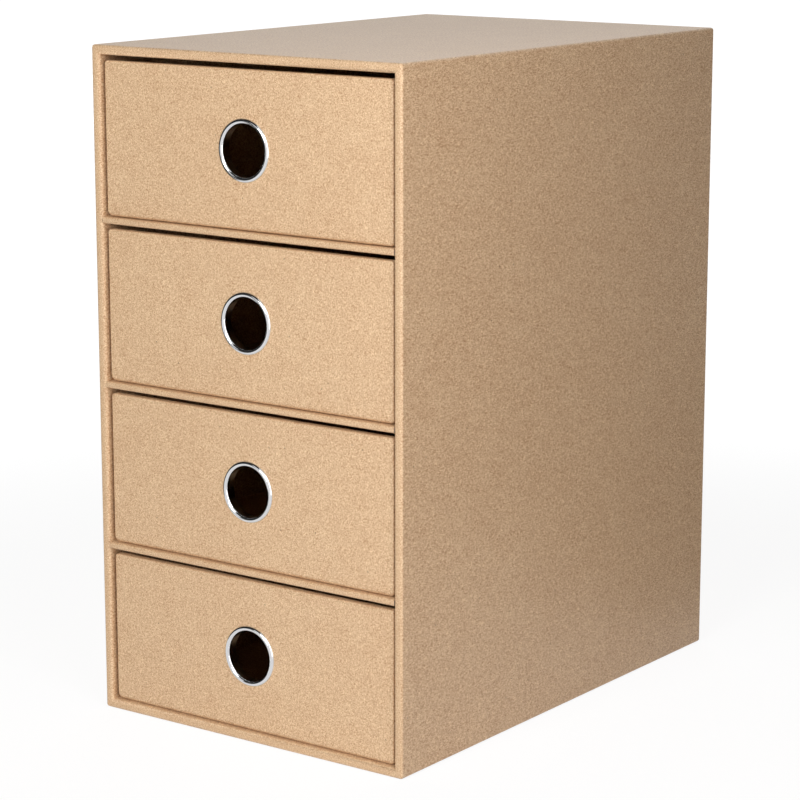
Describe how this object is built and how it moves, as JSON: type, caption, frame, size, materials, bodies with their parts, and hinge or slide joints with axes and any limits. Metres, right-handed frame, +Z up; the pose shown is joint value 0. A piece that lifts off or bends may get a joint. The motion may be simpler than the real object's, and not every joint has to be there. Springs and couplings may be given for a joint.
{
  "type": "desktop mini drawers",
  "caption": "Upright paper-covered board case open at the front, with stacked drawers that slide out, each pulled by a finger through a metal-rimmed hole.",
  "frame": {"origin": "middle of the rectangle that the case stands on, on the surface that carries it", "axes": "+Z up; -Y is the front, where the drawers open; +X to the right of someone who faces the fronts"},
  "size_m": [0.178, 0.265, 0.32],
  "materials": {
    "kraft_paper": "uncoated brown kraft paper, matt, with fine fibres and flecks",
    "greyboard": "solid grey-brown board, matt, with torn-fibre cut edges",
    "ring_metal": "bright nickel or chrome plating on pressed steel"
  },
  "bodies": {
    "case": {"case_left_board": "greyboard", "case_right_board": "greyboard", "case_top_board": "greyboard", "case_bottom_board": "greyboard", "case_back_board": "greyboard", "case_cover": "kraft_paper", "case_lining": "kraft_paper", "case_base_sheet": "kraft_paper", "case_back_sheet": "kraft_paper", "case_back_lining": "kraft_paper", "shelf_1_board": "greyboard", "shelf_2_board": "greyboard", "shelf_3_board": "greyboard", "shelf_1_cover": "kraft_paper", "shelf_2_cover": "kraft_paper", "shelf_3_cover": "kraft_paper"},
    "drawer_1": {"drawer_1_front_board": "greyboard", "drawer_1_front_cover": "kraft_paper", "drawer_1_left_board": "greyboard", "drawer_1_right_board": "greyboard", "drawer_1_back_board": "greyboard", "drawer_1_base_board": "greyboard", "drawer_1_tray_cover": "kraft_paper", "drawer_1_lining": "kraft_paper", "drawer_1_ring": "ring_metal", "drawer_1_washer": "ring_metal"},
    "drawer_2": {"drawer_2_front_board": "greyboard", "drawer_2_front_cover": "kraft_paper", "drawer_2_left_board": "greyboard", "drawer_2_right_board": "greyboard", "drawer_2_back_board": "greyboard", "drawer_2_base_board": "greyboard", "drawer_2_tray_cover": "kraft_paper", "drawer_2_lining": "kraft_paper", "drawer_2_ring": "ring_metal", "drawer_2_washer": "ring_metal"},
    "drawer_3": {"drawer_3_front_board": "greyboard", "drawer_3_front_cover": "kraft_paper", "drawer_3_left_board": "greyboard", "drawer_3_right_board": "greyboard", "drawer_3_back_board": "greyboard", "drawer_3_base_board": "greyboard", "drawer_3_tray_cover": "kraft_paper", "drawer_3_lining": "kraft_paper", "drawer_3_ring": "ring_metal", "drawer_3_washer": "ring_metal"},
    "drawer_4": {"drawer_4_front_board": "greyboard", "drawer_4_front_cover": "kraft_paper", "drawer_4_left_board": "greyboard", "drawer_4_right_board": "greyboard", "drawer_4_back_board": "greyboard", "drawer_4_base_board": "greyboard", "drawer_4_tray_cover": "kraft_paper", "drawer_4_lining": "kraft_paper", "drawer_4_ring": "ring_metal", "drawer_4_washer": "ring_metal"}
  },
  "joints": [
    {"name": "drawer_1_slide", "type": "slide", "parent": "case", "child": "drawer_1", "axis": [0, -1, 0], "range_m": [0, 0.2]},
    {"name": "drawer_2_slide", "type": "slide", "parent": "case", "child": "drawer_2", "axis": [0, -1, 0], "range_m": [0, 0.2]},
    {"name": "drawer_3_slide", "type": "slide", "parent": "case", "child": "drawer_3", "axis": [0, -1, 0], "range_m": [0, 0.2]},
    {"name": "drawer_4_slide", "type": "slide", "parent": "case", "child": "drawer_4", "axis": [0, -1, 0], "range_m": [0, 0.2]}
  ]
}
